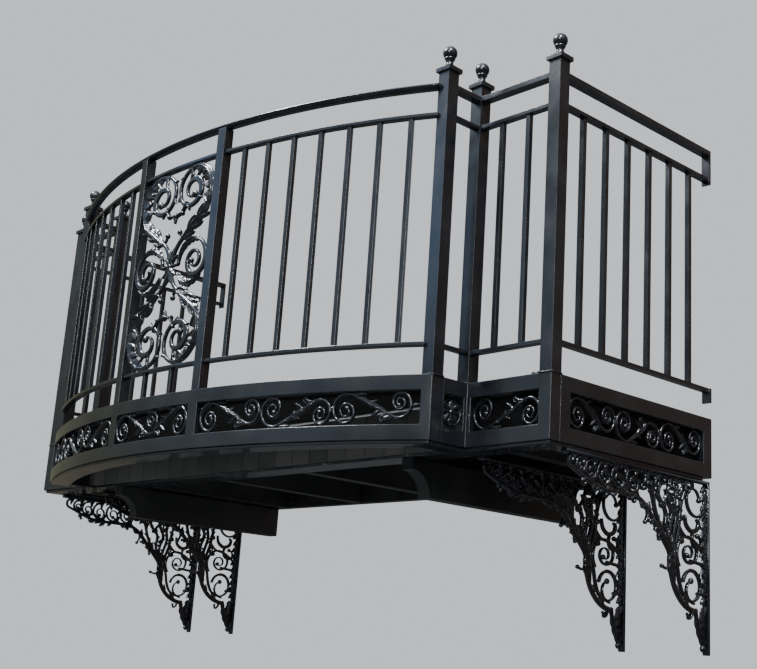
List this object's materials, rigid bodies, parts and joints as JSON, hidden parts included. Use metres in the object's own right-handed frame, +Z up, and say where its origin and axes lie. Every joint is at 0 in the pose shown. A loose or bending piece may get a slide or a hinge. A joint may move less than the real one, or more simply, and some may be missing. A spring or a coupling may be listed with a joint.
{
  "type": "juliet balcony",
  "caption": "Bow-fronted ornamental iron balcony with a scroll panel in its railing, ball-topped posts, a fascia of cast scrolls, a timber deck and cast brackets below.",
  "frame": {"origin": "middle of the ledger's back face, on the wall's plane", "axes": "+X along the wall, to the right when facing it; +Y into the wall; +Z up"},
  "size_m": [2.839, 1.2198, 1.81],
  "materials": {
    "frame_paint": "high-gloss black enamel on steel",
    "casting_paint": "high-gloss black enamel on cast iron",
    "deck_board": "dark stained boards, satin",
    "ledger_paint": "black enamel, a little duller, on the members under the deck"
  },
  "bodies": {
    "root": {"ledger": "ledger_paint", "beam_left": "ledger_paint", "beam_right": "ledger_paint", "header": "ledger_paint", "joists": "ledger_paint", "deck": "deck_board", "rim_bow": "frame_paint", "rim_front": "frame_paint", "rim_sides": "frame_paint", "fascia_bow": "frame_paint", "fascia_step_left": "frame_paint", "fascia_step_right": "frame_paint", "fascia_side_left": "frame_paint", "fascia_side_right": "frame_paint", "scrolls_bow_centre": "casting_paint", "scrolls_bow_left": "casting_paint", "scrolls_bow_right": "casting_paint", "rosette_left": "casting_paint", "rosette_right": "casting_paint", "scrolls_front_left": "casting_paint", "scrolls_front_right": "casting_paint", "scrolls_side_left": "casting_paint", "scrolls_side_right": "casting_paint", "post_corner_left": "frame_paint", "post_corner_right": "frame_paint", "post_inner_left": "frame_paint", "post_inner_right": "frame_paint", "post_bow_left": "frame_paint", "post_bow_right": "frame_paint", "mullions": "frame_paint", "top_rail_bow": "frame_paint", "bow_panel_left": "frame_paint", "bow_panel_right": "frame_paint", "centre_rails": "frame_paint", "scroll_panel": "casting_paint", "return_rails_left": "frame_paint", "return_rails_right": "frame_paint", "front_panel_left": "frame_paint", "front_panel_right": "frame_paint", "side_panel_left": "frame_paint", "side_panel_right": "frame_paint", "bracket_outer_left": "casting_paint", "bracket_outer_right": "casting_paint", "bracket_inner_left": "casting_paint", "bracket_inner_right": "casting_paint"}
  },
  "joints": []
}
